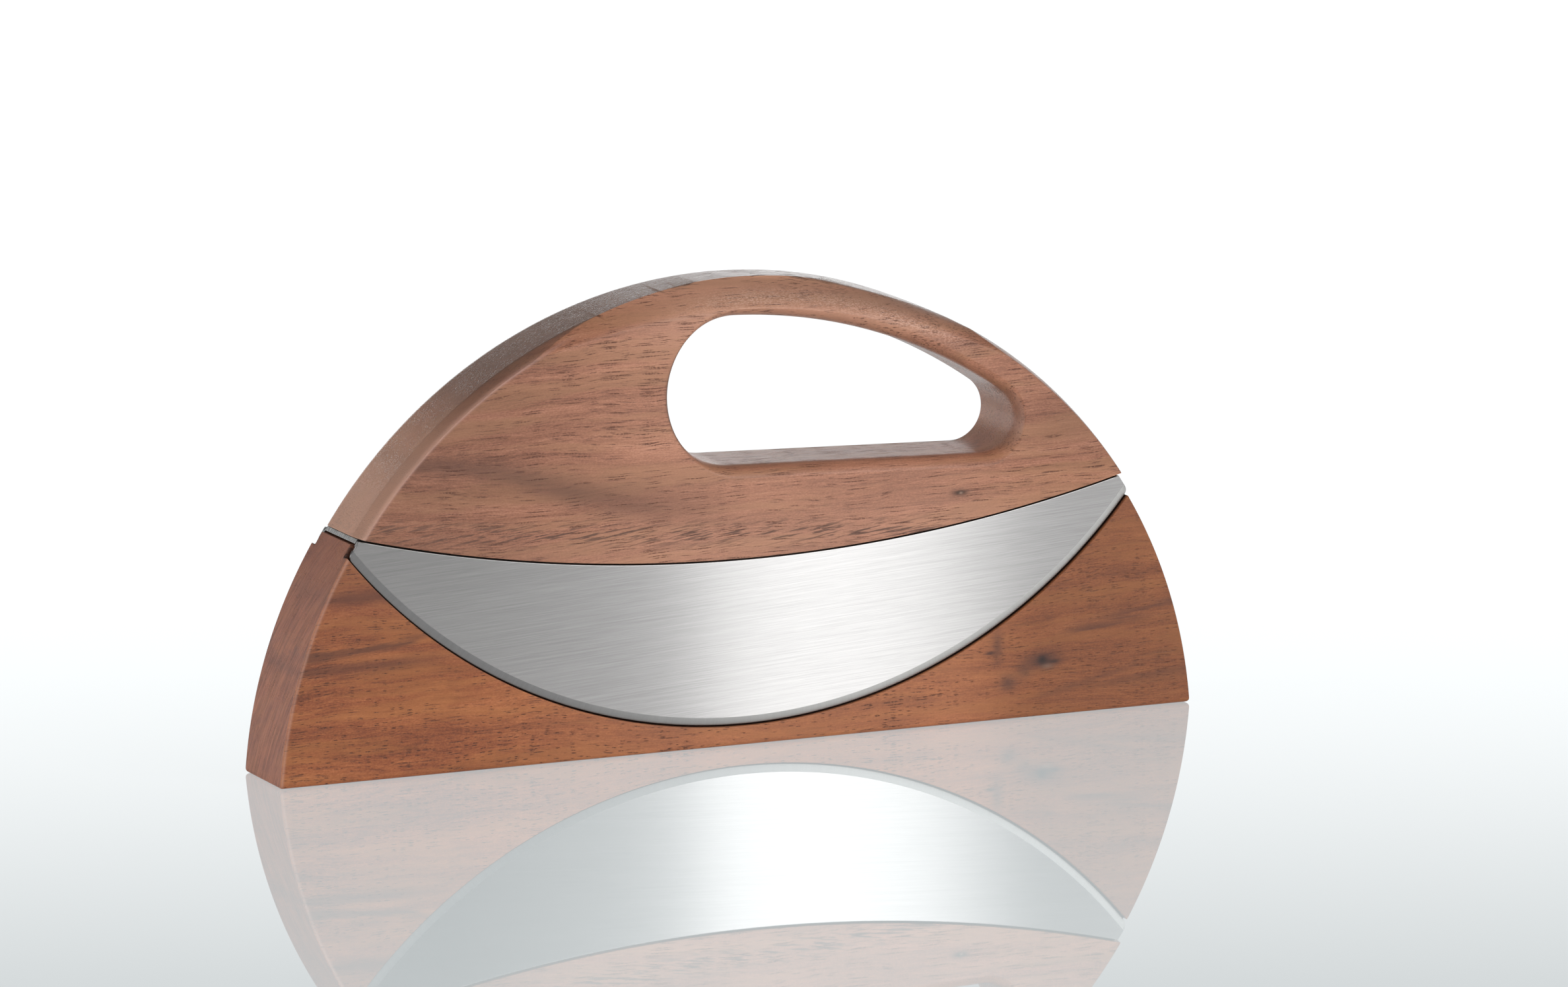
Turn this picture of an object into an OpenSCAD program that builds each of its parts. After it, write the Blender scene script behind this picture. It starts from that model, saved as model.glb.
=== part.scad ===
// Double-bladed mezzaluna standing in its wooden storage block.
// Millimetres, +Z up, X along the blades, -Y is the front.
// The origin is the bottom centre of the storage block.
// Every curved edge of the real object is a circular arc, so each outline here
// is an arc given by its radius and by the height of its centre or lowest point.

/* [Storage block] */
// Thickness of the block and of the handle, front to back
thick = 23.6; // [22:0.2:28]
// Radius of the block's arched ends
block_r = 125.4; // [122:0.2:130]
// How far the centre of that arch lies below the block's bottom
block_drop = 9.6; // [6:0.2:14]
// Half thickness of the tongue that stands between the two blades
tongue_half = 9.6; // [9:0.1:9.8]
// Gap between the tongue's top and the bridge plate above it
rest_gap = 0.3; // [0.2:0.1:1]
// Gap between a blade's edge and the floor of its pocket
pocket_gap = 0.5; // [0.4:0.1:2]
// Bevel along the block's bottom end edges
block_bevel = 1.0; // [0.4:0.1:2]

/* [Blades] */
// Radius of the cutting edge
blade_r = 137.2; // [134:0.1:140]
// Height of the cutting edge's lowest point in the block
blade_low = 5.35; // [5:0.05:8]
// Thickness of each blade
blade_t = 1.4; // [1.2:0.1:1.6]
// How far a blade's outer face lies inside the block's face
blade_inset = 0.4; // [0.2:0.1:0.5]
// Width of the bevels ground along the cutting edge from both faces
grind_w = 2.0; // [1:0.1:4]
// Thickness left at the cutting edge
edge_land = 0.25; // [0.2:0.05:0.4]
// Sideways place of the blades and the bridge in the block
tool_x = 0.9; // [0:0.1:1.5]
// Flat taken off each blade's pointed end
tip_cut = 0.8; // [0.6:0.1:3]

/* [Bridge plate] */
// Radius of the handle's curved bottom, which the bridge plate follows
bridge_r = 417.5; // [400:0.5:440]
// Height of the lowest point of the handle's bottom
bridge_low = 47.75; // [46:0.05:49]
// Thickness of the bridge plate
bridge_t = 1.4; // [1.4:0.1:2]
// Gap between a blade's top edge and the handle
top_gap = 0.5; // [0.3:0.1:1]

/* [Handle] */
// Radius of the handle's arched back
handle_r = 126.1; // [124:0.1:128]
// Sideways place of the handle's arch
handle_x = 1.9; // [0:0.1:3]
// How far the centre of the handle's arch lies below the block's bottom
handle_drop = 8.5; // [7:0.1:10]
// Depth from each face over which the handle's outer rim is eased
rim_deep = 4.8; // [3:0.1:7]
// How much that easing takes off the rim at the face
rim_wide = 1.3; // [0.5:0.1:3]
// Larger rounding of the grip over the fingers
grip_round = 10; // [8:0.5:11]
// Radius at which the grip's larger rounding runs out towards the ends
grip_r = 180; // [160:5:240]

/* [Finger opening] */
// Radius of the opening's wide left end
wide_r = 19; // [17:0.5:20]
// Place of the wide end's centre, sideways and up
wide_at = [-0.4, 90]; // [-5:0.1:95]
// Radius of the opening's narrow right end
narrow_r = 8.6; // [7:0.2:10]
// Place of the narrow end's centre, sideways and up
narrow_at = [67.5, 77.4]; // [60:0.1:80]
// Radius of the arc over the fingers
finger_r = 125; // [125:1:127]
// Depth from the face at which the lips over and under the fingers begin
lip_deep = 8.5; // [6:0.5:10]
// Width of those lips on the face
lip_wide = 2.4; // [1:0.1:3]
// Depth of the lips at the opening's two ends
lip_end_deep = 2.4; // [1:0.1:4]
// Width of the lips at the two ends on the face
lip_end_wide = 1.6; // [0.8:0.1:2.5]

/* [Fasteners] */
// Places of the screws along the bridge plate
screw_x = [-78, 0, 78]; // [-85:1:85]
// Diameter of the screw thread
screw_d = 3; // [2.5:0.1:3.5]
// Length of the screws, head included
screw_len = 11; // [9:0.5:14]
// Outer diameter of the threaded inserts
insert_d = 5; // [4.4:0.1:6]
// Length of the threaded inserts
insert_len = 8; // [6:0.5:9]

/* [Hidden] */
$fn = 240;
half = thick / 2;
blade_out = half - blade_inset;
blade_in = blade_out - blade_t;
edge_y = (blade_in + blade_out) / 2;
blade_cz = blade_low + blade_r;
bridge_cz = bridge_low + bridge_r;
handle_top = handle_r - handle_drop;
// The opening's two ends are round, and a straight floor and an arc over the fingers join
// them smoothly: both lie along a tangent of the two end circles.
ends = narrow_at - wide_at;
ends_turn = atan2(ends[1], ends[0]);
floor_turn = ends_turn + asin((wide_r - narrow_r) / norm(ends));
wide_reach = finger_r - wide_r;
narrow_reach = finger_r - narrow_r;
along = (pow(wide_reach, 2) - pow(narrow_reach, 2) + pow(norm(ends), 2)) / (2 * norm(ends));
finger_at = wide_at + turned([along, -sqrt(pow(wide_reach, 2) - along * along)], ends_turn);
head_d = screw_d + 2 * 1.25;
far = 300;
// The lips' ellipses are centred this much past the face, as a share of their depth, and
// spread so that they have their stated width where they cross the face.
lip_over = 1.12;
lip_spread = 1 / (1 - sqrt(1 - 1 / (lip_over * lip_over)));
thread_gap = 0.05;
grip_proud = 0.6;
block_wood = [0.60, 0.33, 0.22];
handle_wood = [0.64, 0.42, 0.34];
steel = [0.72, 0.72, 0.71];
brass = [0.80, 0.62, 0.30];

function turned(v, a) = [v[0] * cos(a) - v[1] * sin(a), v[0] * sin(a) + v[1] * cos(a)];

// Moves its children to a place in the X-Z plane.
module at(x, z) {
    translate([x, 0, z]) children();
}

// Turns a shape made about Z so that it lies about the Y axis.
module lying() {
    rotate([90, 0, 0]) children();
}

// A flat disc about the Y axis, between two depths y0 < y1.
module disc(r, y0, y1) {
    translate([0, y1, 0]) rotate([90, 0, 0]) cylinder(r = r, h = y1 - y0);
}

// A disc whose two rims are rounded.
module rounded_disc(r, half_depth, edge) {
    lying() rotate_extrude() {
        translate([0, -half_depth]) square([r - edge, 2 * half_depth]);
        translate([0, edge - half_depth]) square([r, 2 * (half_depth - edge)]);
        for (s = [-1, 1]) translate([r - edge, s * (half_depth - edge)])
            intersection() {
                circle(edge, $fn = 64);
                translate([0, s * edge / 2]) square([2 * edge, edge], center = true);
            }
    }
}

// A disc whose two rims are eased by one wide arc, which leaves a faint edge at each side.
module eased_disc(r, half_depth, deep, wide) {
    flat_half = half_depth - deep;
    reach = (pow(wide, 2) + pow(half_depth, 2) - pow(flat_half, 2)) / (2 * wide);
    lying() rotate_extrude() {
        translate([0, -half_depth]) square([r - wide, 2 * half_depth]);
        intersection() {
            translate([r - wide, -half_depth]) square([wide, 2 * half_depth]);
            translate([r - reach, 0]) circle(norm([reach, flat_half]));
        }
    }
}

// Points along an arc from angle a to angle b, each with the direction it faces.
function arc(c, r, a, b, steps) = [for (i = [0:steps]) let (t = a + (b - a) * i / steps)
    [c + r * [cos(t), sin(t)], t]];

// The opening's outline, once round: wide end, arc over the fingers, narrow end, floor.
function opening_line() = let (
        down = floor_turn - 90,
        wide_top = atan2(wide_at[1] - finger_at[1], wide_at[0] - finger_at[0]),
        narrow_top = atan2(narrow_at[1] - finger_at[1], narrow_at[0] - finger_at[0]))
    concat(arc(wide_at, wide_r, down, wide_top - 360, 24),
        arc(finger_at, finger_r, wide_top - 1, narrow_top + 1, 10),
        arc(narrow_at, narrow_r, narrow_top, down, 14));

// One ring of the opening's wall. s runs from 0, where the lip begins, to just past the face.
// The lips are quarter ellipses, deep over and under the fingers and small at the ends.
function lip_ring(s, side) = [for (p = opening_line()) let (
        level = pow(sin(p[1]), 2),
        deep = lip_end_deep + (lip_deep - lip_end_deep) * level,
        wide = lip_end_wide + (lip_wide - lip_end_wide) * level,
        flare = wide * lip_spread * (1 - sqrt(1 - s * s)),
        q = p[0] + flare * [cos(p[1]), sin(p[1])])
    [q[0], side * (half + deep * (lip_over * s - 1)), q[1]]];

// A solid whose skin runs over a stack of rings with the same number of points.
module stacked(rings) {
    n = len(rings[0]);
    last = len(rings) - 1;
    polyhedron(points = [for (r = rings) each r], faces = concat(
        [[for (i = [0:n - 1]) i], [for (i = [0:n - 1]) last * n + n - 1 - i]],
        [for (k = [0:last - 1], i = [0:n - 1]) let (j = (i + 1) % n)
            [k * n + i, (k + 1) * n + i, (k + 1) * n + j, k * n + j]]), convexity = 4);
}

module finger_opening() {
    steps = [0.97, 0.85, 0.7, 0.5, 0.25, 0];
    stacked(concat([for (s = steps) lip_ring(s, -1)],
        [for (i = [1:len(steps)]) lip_ring(steps[len(steps) - i], 1)]));
}

// Puts its children on the underside of the bridge plate at each screw, square to the plate.
module at_screws() {
    for (x = screw_x) at(tool_x, bridge_cz) rotate([0, -asin(x / bridge_r), 0])
        translate([0, 0, -bridge_r - bridge_t]) children();
}

// Half-space above the table on which the block stands.
module above(z) {
    translate([-far, -far, z]) cube([2 * far, 2 * far, far]);
}

// Everything inside the arch that the block, the blades and the bridge share.
module arch(depth, x = 0) {
    at(x, -block_drop) disc(block_r, -depth, depth);
}

module storage_block() {
    foot = sqrt(block_r * block_r - block_drop * block_drop);
    color(block_wood) difference() {
        intersection() {
            arch(half);
            above(0);
        }
        at(tool_x, bridge_cz) disc(bridge_r + bridge_t + rest_gap, -far, far);
        for (s = [-1, 1]) {
            at(tool_x, blade_cz) disc(blade_r + pocket_gap, s > 0 ? tongue_half : -far,
                s > 0 ? far : -tongue_half);
            at(s * foot, 0) rotate([0, 45, 0])
                cube([block_bevel * sqrt(2), 2 * thick, block_bevel * sqrt(2)], center = true);
        }
    }
}

module handle() {
    color(handle_wood) difference() {
        intersection() {
            at(handle_x, -handle_drop) eased_disc(handle_r, half, rim_deep, rim_wide);
            at(handle_x, handle_top - grip_r)
                rounded_disc(grip_r, half + grip_proud, grip_round);
            at(tool_x, bridge_cz) disc(bridge_r, -far, far);
        }
        finger_opening();
        at_screws() translate([0, 0, bridge_t - 1]) {
            cylinder(d = insert_d, h = insert_len + 1);
            cylinder(d = screw_d + 0.6, h = screw_len + 1);
        }
    }
}

module bridge_plate() {
    color(steel) difference() {
        intersection() {
            at(tool_x, bridge_cz) disc(bridge_r + bridge_t, -blade_in, blade_in);
            arch(far, tool_x);
        }
        at(tool_x, bridge_cz) disc(bridge_r, -far, far);
        at_screws() {
            cylinder(d = screw_d + 2 * thread_gap, h = 4, center = true);
            cylinder(d1 = head_d + 2 * thread_gap, d2 = screw_d, h = (head_d - screw_d) / 2);
        }
    }
}

// One blade: a plate whose lower edge is an arc, ground to an edge from both faces.
module blade() {
    rise = blade_r * blade_r - block_r * block_r;
    gap = blade_cz + block_drop;
    tip_z = blade_cz - (gap * gap + rise) / (2 * gap);
    tip = [sqrt(blade_r * blade_r - pow(blade_cz - tip_z, 2)), tip_z];
    at(tool_x, 0) difference() {
        intersection() {
            at(0, blade_cz) union() {
                disc(blade_r, -edge_y - edge_land / 2, -edge_y + edge_land / 2);
                for (side = [-1, 1]) translate([0, -edge_y + side * edge_land / 2, 0])
                    rotate([-90 * side, 0, 0])
                        cylinder(r1 = blade_r, r2 = blade_r - grind_w, h = (blade_t - edge_land) / 2);
            }
            arch(far);
        }
        at(0, bridge_cz) disc(bridge_r + top_gap, -far, far);
        for (s = [-1, 1]) at(s * tip[0], tip[1])
            rotate([0, s * 15, 0]) cube([2 * tip_cut, far, 2 * tip_cut], center = true);
    }
}

module blade_front() {
    color(steel) blade();
}

module blade_rear() {
    color(steel) mirror([0, 1, 0]) blade();
}

module bridge_screws() {
    color(steel) at_screws() difference() {
        union() {
            cylinder(d1 = head_d, d2 = screw_d - 2 * thread_gap, h = (head_d - screw_d) / 2,
                $fn = 64);
            cylinder(d = screw_d - 2 * thread_gap, h = screw_len, $fn = 64);
        }
        for (a = [0, 90]) rotate([0, 0, a]) cube([3, 0.6, 1.8], center = true);
    }
}

module threaded_inserts() {
    color(brass) at_screws() translate([0, 0, bridge_t]) difference() {
        union() {
            cylinder(d = insert_d - 0.6, h = insert_len, $fn = 64);
            for (z = [0, insert_len - 3]) translate([0, 0, z]) cylinder(d = insert_d, h = 3, $fn = 64);
        }
        translate([0, 0, -1]) cylinder(d = screw_d, h = insert_len + 2, $fn = 64);
    }
}

storage_block();
handle();
bridge_plate();
blade_front();
blade_rear();
bridge_screws();
threaded_inserts();
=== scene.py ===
import math

import bmesh
import bpy
from mathutils import Matrix, Vector


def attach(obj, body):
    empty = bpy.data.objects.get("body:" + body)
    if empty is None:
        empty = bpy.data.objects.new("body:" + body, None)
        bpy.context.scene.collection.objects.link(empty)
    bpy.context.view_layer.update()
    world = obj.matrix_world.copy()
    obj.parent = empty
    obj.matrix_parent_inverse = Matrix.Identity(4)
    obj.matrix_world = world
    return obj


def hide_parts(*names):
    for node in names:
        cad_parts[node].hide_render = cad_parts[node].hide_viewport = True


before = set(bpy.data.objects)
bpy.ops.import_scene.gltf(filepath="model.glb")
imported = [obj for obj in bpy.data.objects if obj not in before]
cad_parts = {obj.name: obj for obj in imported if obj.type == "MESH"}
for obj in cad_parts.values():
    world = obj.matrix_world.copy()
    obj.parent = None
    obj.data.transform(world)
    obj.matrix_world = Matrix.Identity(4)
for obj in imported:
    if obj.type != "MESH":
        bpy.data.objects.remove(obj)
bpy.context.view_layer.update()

MM = 0.001

# Measures in millimetres. X runs along the blades, the front faces -Y, Z is the height above the table.
# An arc about the Y axis is given by its radius and by the place of its centre.

# Storage block: half its thickness, its arched ends, the tongue's half thickness, the pockets
HALF = 11.8
BLOCK_R, BLOCK_Z = 125.4, -9.6
FOOT_ROUND = 1.0
TONGUE = 9.6
POCKET_R, POCKET_X = 137.6, 1.0

# Blades: cutting edge, outer and inner face, rounding of the tips, gap under the handle
TOOL_X = 0.9
BLADE_R, BLADE_Z = 137.2, 142.55
BLADE_OUT, BLADE_IN = 11.4, 10.0
TIP_ROUND = 1.7
TOP_GAP = 0.5

# Grinding stone: half the land at the edge, then how far each cone reaches in depth and inwards
HALF_LAND = 0.12
CONE_DEEP, CONE_IN = 1.16, 4.0
BEVEL_WIDE = 1.9

# Bridge plate: the handle's curved bottom, and how far the plate's faces and its seat lie below it
BRIDGE_R, BRIDGE_Z = 417.5, 465.25
PLATE_TOP, PLATE_UNDER, SEAT_UNDER = 0.15, 1.3, 1.7

# Handle: its arched back, the small rounding behind, and the wide arc that eases it in front
HANDLE_R, HANDLE_X, HANDLE_Z = 126.1, 1.9, -8.5
BACK_ROUND = 3.2
EASE_R, EASE_SINK = 36.04, 35.36

# Finger opening: its two ends and the arc over the fingers
WIDE_R, WIDE_AT = 18.9, (-1.2, 90.0)
NARROW_R, NARROW_AT = 8.6, (68.1, 77.4)
FINGER_R = 136.0

# Lips of the opening: where they begin, how deep they run, their width along it and at its narrow end
LIP_FROM, LIP_DEEP = -7.0, 4.85
LIP_WIDE, LIP_NARROW = 3.6, 2.4
CRISP_FROM, CRISP_DEEP, CRISP_WIDE = -11.1, 0.7, 0.5

# How far a cutting tool reaches past the piece
BEYOND = 60


# Work in edit mode

def clear_selection():
    bpy.ops.object.select_all(action="DESELECT")


def take(piece):
    """Selects one piece and makes it the active one."""
    clear_selection()
    piece.select_set(True)
    bpy.context.view_layer.objects.active = piece


def pick(piece, kind, wanted):
    """Selects, in edit mode, the corners, edges or faces for which wanted is true."""
    take(piece)
    bpy.ops.object.mode_set(mode="EDIT")
    bpy.ops.mesh.select_mode(type=kind)
    bpy.ops.mesh.select_all(action="DESELECT")
    mesh = bmesh.from_edit_mesh(piece.data)
    for item in {"VERT": mesh.verts, "EDGE": mesh.edges, "FACE": mesh.faces}[kind]:
        if wanted(item):
            item.select_set(True)
    bmesh.update_edit_mesh(piece.data)


def close_edit():
    bpy.ops.object.mode_set(mode="OBJECT")


def disc(name, radius, y_from, y_to, x, z, steps=300):
    """A flat disc about the Y axis, between two depths."""
    clear_selection()
    bpy.ops.mesh.primitive_cylinder_add(
        vertices=steps, radius=radius * MM, depth=(y_to - y_from) * MM,
        location=(x * MM, (y_from + y_to) / 2 * MM, z * MM), rotation=(math.pi / 2, 0, 0))
    piece = bpy.context.object
    piece.name = name
    piece.data.name = name
    bpy.ops.object.transform_apply(location=True, rotation=True, scale=True)
    return piece


def turned(name, rings, steps=420):
    """A round piece built up from the back to the front: rings of (depth, radius, x, z)."""
    y_back, radius, x, z = rings[0]
    piece = disc(name, radius, rings[1][0], y_back, x, z, steps)
    pick(piece, "FACE", lambda f: f.normal.y < -0.9)
    for number, (y, wide, new_x, new_z) in enumerate(rings[1:]):
        if number:
            bpy.ops.mesh.extrude_region_move(
                TRANSFORM_OT_translate={"value": (0, (y - y_last) * MM, 0)})
        bpy.ops.transform.resize(value=(wide / radius, 1, wide / radius),
                                 center_override=(x * MM, 0, z * MM))
        bpy.ops.transform.translate(value=((new_x - x) * MM, 0, (new_z - z) * MM))
        y_last, radius, x, z = y, wide, new_x, new_z
    close_edit()
    return piece


def apply(piece, modifier):
    take(piece)
    bpy.ops.object.modifier_apply(modifier=modifier.name)


def combine(piece, tool, operation):
    """Cuts, joins or intersects a piece with a tool, which is used up."""
    modifier = piece.modifiers.new("combine", "BOOLEAN")
    modifier.operation = operation
    modifier.object = tool
    modifier.solver = "EXACT"
    apply(piece, modifier)
    bpy.data.objects.remove(tool, do_unlink=True)


def soften(piece, width, angle, segments=2):
    """A small rounding along every edge sharper than the angle."""
    modifier = piece.modifiers.new("soften", "BEVEL")
    modifier.width = width * MM
    modifier.segments = segments
    modifier.limit_method = "ANGLE"
    modifier.angle_limit = math.radians(angle)
    modifier.use_clamp_overlap = False
    modifier.miter_outer = "MITER_ARC"
    apply(piece, modifier)


def smooth(piece, angle=32):
    """Smooth shading between faces that meet at less than the angle."""
    take(piece)
    bpy.ops.object.shade_smooth_by_angle(angle=math.radians(angle))
    modifier = piece.modifiers.new("even shading", "WEIGHTED_NORMAL")
    modifier.keep_sharp = True
    modifier.weight = 80
    apply(piece, modifier)


def tidy_mesh(piece):
    """Merges corners that a cut left in the same place."""
    pick(piece, "VERT", lambda v: True)
    bpy.ops.mesh.remove_doubles(threshold=0.004 * MM)
    close_edit()


# Outlines traced with arcs

def trace(name, y, start, arcs):
    """A closed outline at depth y: from the start point through arcs (centre, degrees, steps)."""
    clear_selection()
    bpy.ops.mesh.primitive_plane_add(size=MM, location=(start[0] * MM, y * MM, start[1] * MM))
    piece = bpy.context.object
    piece.name = name
    bpy.ops.object.transform_apply(location=True, rotation=True, scale=True)
    bpy.ops.object.mode_set(mode="EDIT")
    bpy.ops.mesh.select_mode(type="VERT")
    bpy.ops.mesh.merge(type="CENTER")
    for centre, degrees, steps in arcs:
        bpy.ops.mesh.spin(steps=steps, angle=math.radians(degrees),
                          center=(centre[0] * MM, y * MM, centre[1] * MM), axis=(0, 1, 0))
    mesh = bmesh.from_edit_mesh(piece.data)
    for vert in mesh.verts:
        vert.select_set(len(vert.link_edges) == 1)
    bmesh.update_edit_mesh(piece.data)
    bpy.ops.mesh.edge_face_add()
    close_edit()
    return piece


def join(pieces):
    take(pieces[0])
    for piece in pieces[1:]:
        piece.select_set(True)
    bpy.ops.object.join()
    return pieces[0]


def bridge(piece, y_a, y_b):
    """Skins the space between the outlines at two depths."""
    def in_loop(edge):
        ys = [v.co.y / MM for v in edge.verts]
        return any(all(abs(y - want) < 1e-4 for y in ys) for want in (y_a, y_b))

    pick(piece, "EDGE", in_loop)
    bpy.ops.mesh.bridge_edge_loops()
    close_edit()


def close_ends(piece):
    """Fills the outlines at both ends and turns every face outwards."""
    for side in (-1, 1):
        deepest = max(v.co.y * side for v in piece.data.vertices)
        pick(piece, "EDGE", lambda e: all(abs(v.co.y * side - deepest) < 1e-7 for v in e.verts))
        bpy.ops.mesh.edge_face_add()
        close_edit()
    pick(piece, "FACE", lambda f: True)
    bpy.ops.mesh.normals_make_consistent(inside=False)
    close_edit()


def turn_of(point, centre):
    """The direction of a point from a centre, in degrees."""
    return math.degrees(math.atan2(point[1] - centre[1], point[0] - centre[0]))


def finger_centre():
    """Centre of the arc over the fingers, which touches both end circles from outside."""
    dx, dz = NARROW_AT[0] - WIDE_AT[0], NARROW_AT[1] - WIDE_AT[1]
    span = math.hypot(dx, dz)
    wide, narrow = FINGER_R - WIDE_R, FINGER_R - NARROW_R
    along = (wide ** 2 - narrow ** 2 + span ** 2) / (2 * span)
    across = -math.sqrt(wide ** 2 - along ** 2)
    ux, uz = dx / span, dz / span
    return (WIDE_AT[0] + ux * along - uz * across, WIDE_AT[1] + uz * along + ux * across)


def opening_outline(y, grow):
    """The finger opening's outline at a depth, moved outwards everywhere by grow."""
    centre = finger_centre()
    dx, dz = NARROW_AT[0] - WIDE_AT[0], NARROW_AT[1] - WIDE_AT[1]
    floor = math.degrees(math.atan2(dz, dx) + math.asin((WIDE_R - NARROW_R) / math.hypot(dx, dz)))
    down = floor - 90
    wide_top = turn_of(WIDE_AT, centre)
    narrow_top = turn_of(NARROW_AT, centre)
    r = WIDE_R + grow
    start = (WIDE_AT[0] + r * math.cos(math.radians(down)), WIDE_AT[1] + r * math.sin(math.radians(down)))
    return trace("outline", y, start, [
        (WIDE_AT, wide_top - 360 - down, 64),
        (centre, narrow_top - wide_top, 40),
        (NARROW_AT, down - narrow_top, 36)])


def opening_tool():
    """A cutter for the opening: outlines from the back to the front, skinned.

    Each ring is (depth, growth over and under the fingers, at the wide end, at the narrow end).
    """
    rings = [(12.8, 1.0, 1.0, 1.0), (HALF, 0.5, 0.5, 0.5), (11.3, 0.15, 0.15, 0.15), (10.8, 0, 0, 0)]
    for y in (LIP_FROM, -8.0, -8.8, -9.6, -10.3, -10.9, -11.35, -11.65, -HALF):
        lip = 1 - math.sqrt(1 - ((LIP_FROM - y) / LIP_DEEP) ** 2)
        crisp = CRISP_WIDE * max(0.0, (CRISP_FROM - y) / CRISP_DEEP) ** 2
        rings.append((y, LIP_WIDE * lip, crisp, LIP_NARROW * lip))
    rings.append((-13.0, 5.0, 2.0, 4.0))
    outlines = []
    for y, along, left, right in rings:
        ring = opening_outline(y, along)
        pick(ring, "VERT", lambda v: True)
        end = WIDE_AT[0] - WIDE_R - along
        span = NARROW_AT[0] + NARROW_R - WIDE_AT[0] + WIDE_R
        bpy.ops.transform.resize(value=((span + left + right) / (span + 2 * along), 1, 1),
                                 center_override=(end * MM, 0, 0))
        bpy.ops.transform.translate(value=((along - left) * MM, 0, 0))
        close_edit()
        outlines.append(ring)
    tool = join(outlines)
    for (a, *_), (b, *_) in zip(rings, rings[1:]):
        bridge(tool, a, b)
    close_ends(tool)
    return tool


# The handle

def handle_rings():
    """The arched back: a small rounding behind, a wide shallow one in front."""
    rings = []
    for degrees in (90, 72, 54, 36, 18, 0):
        t = math.radians(degrees)
        rings.append((HALF - BACK_ROUND + BACK_ROUND * math.sin(t),
                      HANDLE_R - BACK_ROUND + BACK_ROUND * math.cos(t)))
    for y in (-7.0, -7.8, -8.6, -9.4, -10.2, -11.0, -HALF):
        rings.append((y, HANDLE_R - EASE_SINK + math.sqrt(EASE_R ** 2 - y ** 2)))
    return [(y, radius, HANDLE_X, HANDLE_Z) for y, radius in rings]


def grip_rings():
    """Circles that cut the grip's front round: where each crosses the arch, and how deep it goes."""
    cuts = [(12.2, 72, 70, 0.002), (8, 73.5, 69, 0.03), (4.4, 75.5, 68, 0.12), (3.1, 77, 67.5, 0.18),
            (0.6, 79, 66.5, 0.36), (-1.1, 82, 65.5, 0.55), (-2.1, 91, 64.5, 0.85), (-2.8, 95, 64, 1.2),
            (-4.6, 99.5, 62.5, 2.1), (-7.0, 108, 60, 3.3), (-9.0, 114, 57.5, 4.4), (-10.5, 118, 55, 5.5),
            (-11.3, 120, 53, 6.4), (-11.7, 121.5, 51.5, 7.2), (-11.85, 122.5, 50.5, 8.0),
            (-12.3, 124, 49, 9.5)]
    rings = []
    for y, left, right, deep in cuts:
        middle, spread = math.radians((left + right) / 2), math.radians((left - right) / 2)
        sag = HANDLE_R * (1 - math.cos(spread))
        back = (2 * HANDLE_R * deep - deep ** 2) / (2 * (sag - deep))
        rings.append((y, HANDLE_R - deep + back, HANDLE_X - back * math.cos(middle),
                      HANDLE_Z - back * math.sin(middle)))
    return rings


def model_handle():
    handle = turned("handle", handle_rings())
    combine(handle, turned("grip", grip_rings()), "INTERSECT")
    under = disc("under", BRIDGE_R, -BEYOND, BEYOND, TOOL_X, BRIDGE_Z, 1310)
    combine(handle, under, "INTERSECT")
    combine(handle, opening_tool(), "DIFFERENCE")
    tidy_mesh(handle)
    soften(handle, 0.14, 50)
    # Bring back to the front face what the softening pushed past it.
    pick(handle, "VERT", lambda v: v.co.y < -HALF * MM)
    bpy.ops.transform.resize(value=(1, 0, 1), center_override=(0, -HALF * MM, 0))
    close_edit()
    smooth(handle)
    return handle


# The storage block

def model_block():
    block = disc("storage_block", BLOCK_R, -HALF, HALF, 0, BLOCK_Z, 420)
    pick(block, "FACE", lambda f: True)
    bpy.ops.mesh.bisect(plane_co=(0, 0, 0), plane_no=(0, 0, 1), use_fill=True, clear_inner=True)
    close_edit()
    foot = math.sqrt(BLOCK_R ** 2 - BLOCK_Z ** 2)

    def at_foot(edge):
        return all(abs(v.co.z) < 1e-6 and abs(abs(v.co.x) - foot * MM) < 2e-5 for v in edge.verts)

    pick(block, "EDGE", at_foot)
    bpy.ops.mesh.bevel(offset=FOOT_ROUND * MM, segments=4, affect="EDGES")
    close_edit()
    seat = disc("seat", BRIDGE_R + SEAT_UNDER, -BEYOND, BEYOND, TOOL_X, BRIDGE_Z, 1200)
    combine(block, seat, "DIFFERENCE")
    for side in (-1, 1):
        near, far = sorted((side * TONGUE, side * BEYOND))
        pocket = disc("pocket", POCKET_R, near, far, POCKET_X, BLADE_Z, 720)
        combine(block, pocket, "DIFFERENCE")
    tidy_mesh(block)
    soften(block, 0.28, 40, 3)
    smooth(block)
    return block


# The blades and the bridge plate

def tip_centre():
    """Centre of the small rounding between a blade's end and its cutting edge."""
    span = BLADE_Z - BLOCK_Z
    a, b = BLOCK_R - TIP_ROUND, BLADE_R - TIP_ROUND
    up = (span ** 2 + a ** 2 - b ** 2) / (2 * span)
    return (math.sqrt(a ** 2 - up ** 2), BLOCK_Z + up)


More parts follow.
